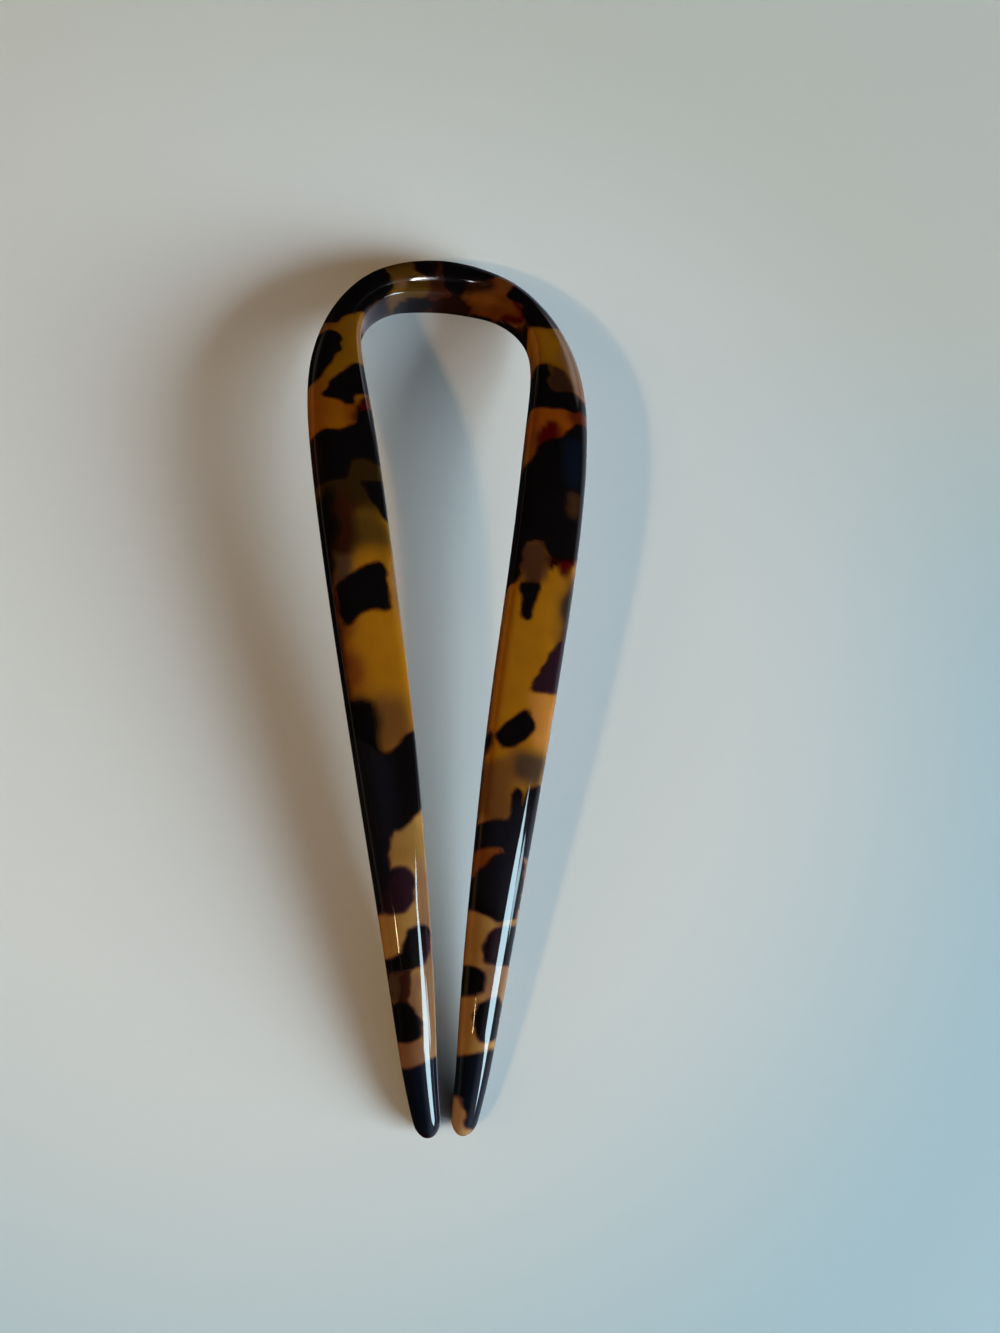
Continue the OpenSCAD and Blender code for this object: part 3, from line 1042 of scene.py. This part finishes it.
def painted_floor(stage):
    """Pale satin paint with a faint brushed grain, and painted shade that turns it greyer and bluer away
    from the fork.
    """
    material = bpy.data.materials.new("painted_floor")
    bench = NodeBench(material)
    place = bench.add("TexCoord").outputs["Object"]
    brushed = bench.add("Mapping", {"Vector": place, "Scale": BRUSH_STRETCH})
    grain = bench.noise(brushed.outputs[0], "brush")
    cloud = bench.noise(place, "paint")
    shade = bench.sum(bench.times(grain, PAINT_SHADE), bench.times(cloud, PAINT_SHADE))
    parts = bench.add("SeparateXYZ", {"Vector": place}).outputs
    # Painted light and shade: palest round the fork, turning to the far or near painted shade further out
    inputs = {0: place, 1: PAINTED_LIGHT_MIDDLE}
    out = bench.add("VectorMath", inputs, operation="DISTANCE").outputs["Value"]
    turned = bench.step(parts["Y"], *PAINTED_SHADE_TURN)
    outer = bench.mix(turned, stage.far_colour, stage.near_colour)
    paint = bench.mix(bench.step(out, *PAINTED_LIGHT_FALL), stage.floor_colour, outer)
    tint = bench.mix(shade, paint, PAINT_DIRT)
    inputs = {"Height": grain, "Distance": BRUSH_HEIGHT, "Strength": 0.5}
    bump = bench.add("Bump", inputs)
    shader = bench.add("BsdfPrincipled", {
        "Base Color": tint,
        "Roughness": 0.65,
        "Specular IOR Level": 0.2,
        "Normal": bump.outputs["Normal"],
    })
    bench.add("OutputMaterial", {"Surface": shader.outputs[0]})
    return material


def add_floor(stage):
    """Adds the floor, level with what the fork rests on, and keeps it out of the polish."""
    deselect_all()
    bpy.ops.mesh.primitive_plane_add(size=stage.floor_size, location=(0, 0, CAD_BOX[0][2]))
    floor = bpy.context.object
    floor.name = "floor"
    bpy.ops.object.transform_apply(location=True, rotation=True, scale=True)
    floor.visible_glossy = False
    floor.data.materials.append(painted_floor(stage))


def add_light(name, azimuth, elevation, distance, size, power, colour):
    """Adds a soft rectangular light that faces the fork."""
    deselect_all()
    turn = math.radians(azimuth)
    rise = math.radians(elevation)
    flat = math.cos(rise)
    way = Vector((math.sin(turn) * flat, math.cos(turn) * flat, math.sin(rise)))
    bpy.ops.object.light_add(type="AREA", location=way * distance)
    light = bpy.context.object
    light.name = name
    light.rotation_euler = way.to_track_quat("Z", "Y").to_euler()
    light.data.shape = "RECTANGLE"
    light.data.size, light.data.size_y = size
    light.data.energy = power
    light.data.color = colour
    light.visible_camera = False
    return light


def paint_room(stage):
    """Paints the world as a dark room: warm low on the left and cool low on the right, with a
    blue sky behind the viewer on the right, a bright wall past the crown, and the ground."""
    world = bpy.data.worlds.new("room")
    bpy.context.scene.world = world
    bench = NodeBench(world)
    way = bench.add("TexCoord").outputs["Generated"]
    parts = bench.add("SeparateXYZ", {"Vector": way}).outputs
    share = {}
    for name, ends in ROOM.items():
        steps = [bench.step(parts[axis], low, high) for axis, low, high in ends]
        share[name] = functools.reduce(bench.times, steps)
    inputs = {0: way, 1: BRIGHT_WALL}
    facing = bench.add("VectorMath", inputs, operation="DOT_PRODUCT").outputs["Value"]
    side = bench.mix(share["left"], stage.right_colour, stage.left_colour)
    low = bench.times(share["low"], bench.sum(1.0, share["viewer"], "SUBTRACT"))
    horizon = bench.mix(low, DARK_ROOM, side)
    behind = bench.mix(share["sky"], NOTHING, stage.sky_colour)
    wall = bench.mix(bench.step(facing, *WALL_EDGE), NOTHING, stage.wall_colour)
    above = bench.mix(1.0, bench.mix(1.0, horizon, behind, "ADD"), wall, "ADD")
    ground = bench.mix(share["lit ground"], DARK_ROOM, stage.ground_colour)
    colour = bench.mix(share["ground"], above, ground)
    sky = bench.add("Background", {"Color": colour, "Strength": stage.room_strength})
    bench.add("OutputWorld", {"Surface": sky.outputs[0]})


def add_camera():
    """Adds the camera where the photograph was taken from."""
    deselect_all()
    bpy.ops.object.camera_add(location=[value * MM for value in CAMERA_PLACE])
    camera = bpy.context.object
    camera.name = "camera"
    camera.rotation_mode = "ZYX"
    camera.rotation_euler = CAMERA_TURN
    camera.data.sensor_width = SENSOR
    camera.data.sensor_fit = "AUTO"
    camera.data.lens = CAMERA_LENS
    camera.data.clip_start = 0.01
    bpy.context.scene.camera = camera


class FORK_OT_make_fork(bpy.types.Operator):
    """Draws, rounds, colours, bends and polishes the fork"""

    bl_idname = "fork.make_fork"
    bl_label = "Make fork"
    bl_options = {"REGISTER", "UNDO"}

    def execute(self, context):
        settings = context.scene.fork_settings
        deselect_all()
        piece = draw_prong(settings)
        piece.name = "acetate_fork"
        mirror_prong(piece, settings)
        colour_sheet(piece, settings)
        bend_blank(piece, settings)
        set_down(piece, settings)
        piece.data.materials.append(acetate(settings))
        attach(piece, BODY)
        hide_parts(NODE)
        return {"FINISHED"}


class FORK_OT_set_stage(bpy.types.Operator):
    """Adds the floor, the lights and the camera"""

    bl_idname = "fork.set_stage"
    bl_label = "Set stage"
    bl_options = {"REGISTER", "UNDO"}

    def execute(self, context):
        stage = context.scene.fork_stage
        context.scene.view_settings.view_transform = "Standard"
        add_floor(stage)
        paint_room(stage)
        for name, place, size, power, colour in LIGHTS:
            light = add_light(name, *place, size, power * stage.daylight, colour)
            light.visible_glossy = False
        for name, place, size, radiance, colour in REFLECTIONS:
            power = radiance * math.pi * size[0] * size[1] * stage.gloss
            light = add_light(name, *place, size, power, colour)
            light.visible_diffuse = False
        add_camera()
        return {"FINISHED"}


class FORK_PT_panel(bpy.types.Panel):
    """Sidebar panel of the hair fork"""

    bl_label = "Hair Fork"
    bl_idname = "FORK_PT_panel"
    bl_space_type = "VIEW_3D"
    bl_region_type = "UI"
    bl_category = "Hair Fork"

    def draw(self, context):
        layout = self.layout
        for group, operator in (
            (context.scene.fork_settings, FORK_OT_make_fork),
            (context.scene.fork_stage, FORK_OT_set_stage),
        ):
            for name in group.bl_rna.properties.keys():
                if name not in {"rna_type", "name"}:
                    layout.prop(group, name)
            layout.operator(operator.bl_idname)


CLASSES = (ForkSettings, StageSettings, FORK_OT_make_fork, FORK_OT_set_stage, FORK_PT_panel)


def register():
    for cls in CLASSES:
        bpy.utils.register_class(cls)
    bpy.types.Scene.fork_settings = PointerProperty(type=ForkSettings)
    bpy.types.Scene.fork_stage = PointerProperty(type=StageSettings)


def unregister():
    del bpy.types.Scene.fork_stage
    del bpy.types.Scene.fork_settings
    for cls in reversed(CLASSES):
        bpy.utils.unregister_class(cls)


def main():
    """Makes the fork and its stage."""
    register()
    bpy.ops.fork.set_stage()
    bpy.ops.fork.make_fork()


if __name__ == "__main__":
    main()
